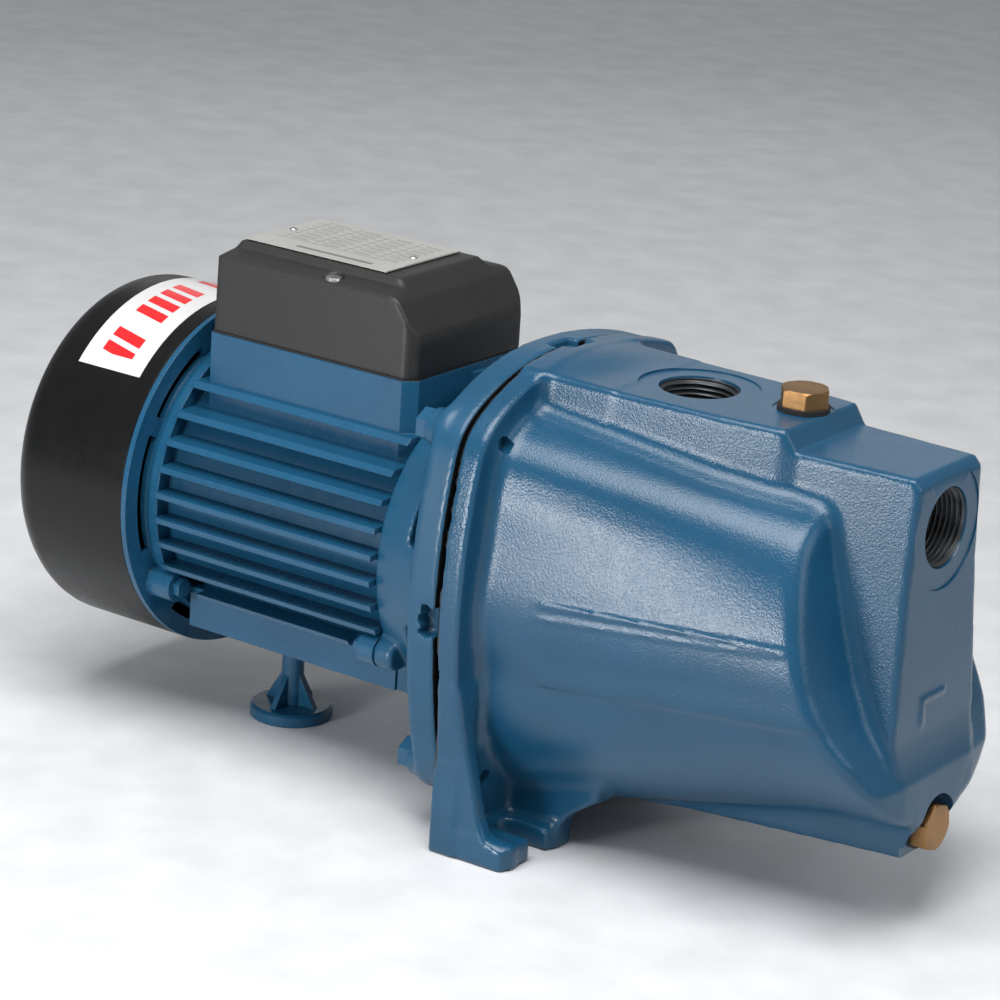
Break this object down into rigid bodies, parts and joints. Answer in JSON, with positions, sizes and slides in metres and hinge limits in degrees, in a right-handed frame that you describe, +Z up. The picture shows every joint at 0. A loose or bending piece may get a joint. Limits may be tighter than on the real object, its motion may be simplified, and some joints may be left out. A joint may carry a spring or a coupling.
{
  "type": "shallow well jet pump",
  "caption": "Self-priming shallow well jet pump: cast casing with threaded suction and discharge ports, slotted feet, bracket and finned motor with terminal box and fan cover.",
  "frame": {"origin": "centre of the motor foot's underside, on the floor that the feet stand on", "axes": "+X along the shaft from the fan to the suction port, +Z up, +Y to the far side from the drawn front left view"},
  "size_m": [0.4436, 0.172, 0.2295],
  "materials": {
    "cast_paint": "gloss",
    "frame_paint": "satin",
    "black_plastic": "satin",
    "black_metal": "satin",
    "black_rubber": "matte",
    "brass": "satin",
    "zinc_steel": "satin",
    "bearing_steel": "gloss",
    "lamination": "satin",
    "cast_aluminium": "satin",
    "copper_winding": "satin",
    "sticker": "gloss",
    "plate_metal": "satin",
    "pale_plastic": "satin",
    "grey_plastic": "satin",
    "carbon": "matte",
    "white_ceramic": "satin"
  },
  "bodies": {
    "pump": {"pump_body": "cast_paint", "motor_bracket": "cast_paint", "casing_oring": "black_rubber", "flange_bolts": "zinc_steel", "motor_frame": "frame_paint", "frame_screws_front": "zinc_steel", "frame_screws_rear": "zinc_steel", "rear_shield": "frame_paint", "fan_cover": "frame_paint", "fan_cover_screws": "zinc_steel", "cover_sticker": "sticker", "terminal_cover": "black_plastic", "terminal_gasket": "black_rubber", "cover_screws": "zinc_steel", "rating_plate": "plate_metal", "plate_rivets": "zinc_steel", "terminal_block": "pale_plastic", "run_capacitor": "grey_plastic", "capacitor_clip": "zinc_steel", "cable_gland": "grey_plastic", "gland_nut": "grey_plastic", "earth_screw": "brass", "motor_foot": "grey_plastic", "foot_screw": "zinc_steel", "stator_core": "lamination", "stator_windings": "copper_winding", "rear_bearing_outer": "bearing_steel", "front_bearing_outer": "bearing_steel", "wave_washer": "zinc_steel", "seal_seat": "white_ceramic", "seat_cup": "black_rubber", "diffuser": "grey_plastic", "diffuser_screws": "zinc_steel", "venturi_tube": "grey_plastic", "venturi_oring": "black_rubber", "ejector_nozzle": "brass", "nozzle_oring": "black_rubber"},
    "rotating_group": {"shaft": "bearing_steel", "rotor_core": "lamination", "rotor_cage": "cast_aluminium", "rear_bearing_inner": "bearing_steel", "front_bearing_inner": "bearing_steel", "cooling_fan": "black_plastic", "fan_clip": "zinc_steel", "slinger": "black_rubber", "seal_head": "carbon", "seal_spring": "zinc_steel", "impeller": "brass", "impeller_key": "zinc_steel", "impeller_nut": "brass"},
    "rear_balls": {"rear_bearing_balls": "bearing_steel"},
    "front_balls": {"front_bearing_balls": "bearing_steel"},
    "priming_ring": {"priming_washer": "black_rubber"},
    "priming_screw": {"priming_plug": "brass"},
    "drain_ring": {"drain_washer": "black_rubber"},
    "drain_screw": {"drain_plug": "brass"}
  },
  "joints": [
    {"name": "shaft_spin", "type": "hinge", "parent": "pump", "child": "rotating_group", "pos_m": [0.1, 0, 0.11], "axis": [1, 0, 0], "continuous": true},
    {"name": "rear_balls_roll", "type": "hinge", "parent": "pump", "child": "rear_balls", "pos_m": [-0.0279, 0, 0.11], "axis": [1, 0, 0], "continuous": true},
    {"name": "front_balls_roll", "type": "hinge", "parent": "pump", "child": "front_balls", "pos_m": [0.103, 0, 0.11], "axis": [1, 0, 0], "continuous": true},
    {"name": "priming_washer_lift", "type": "slide", "parent": "pump", "child": "priming_ring", "axis": [0, 0, 1], "range_m": [0, 0.008]},
    {"name": "priming_plug_turn", "type": "hinge", "parent": "priming_ring", "child": "priming_screw", "pos_m": [0.255, 0.004, 0.205], "axis": [0, 0, 1], "range_deg": [0, 2160]},
    {"name": "drain_washer_shift", "type": "slide", "parent": "pump", "child": "drain_ring", "axis": [1, 0, 0], "range_m": [0, 0.008]},
    {"name": "drain_plug_turn", "type": "hinge", "parent": "drain_ring", "child": "drain_screw", "pos_m": [0.33, 0, 0.043], "axis": [1, 0, 0], "range_deg": [0, 2160]}
  ],
  "couplings": [
    {"joint": "rear_balls_roll", "follows": "shaft_spin", "ratio": 0.384},
    {"joint": "front_balls_roll", "follows": "shaft_spin", "ratio": 0.3842},
    {"joint": "priming_plug_turn", "follows": "priming_washer_lift", "rad_per_m": 4699.5},
    {"joint": "drain_plug_turn", "follows": "drain_washer_shift", "rad_per_m": 4699.5}
  ]
}
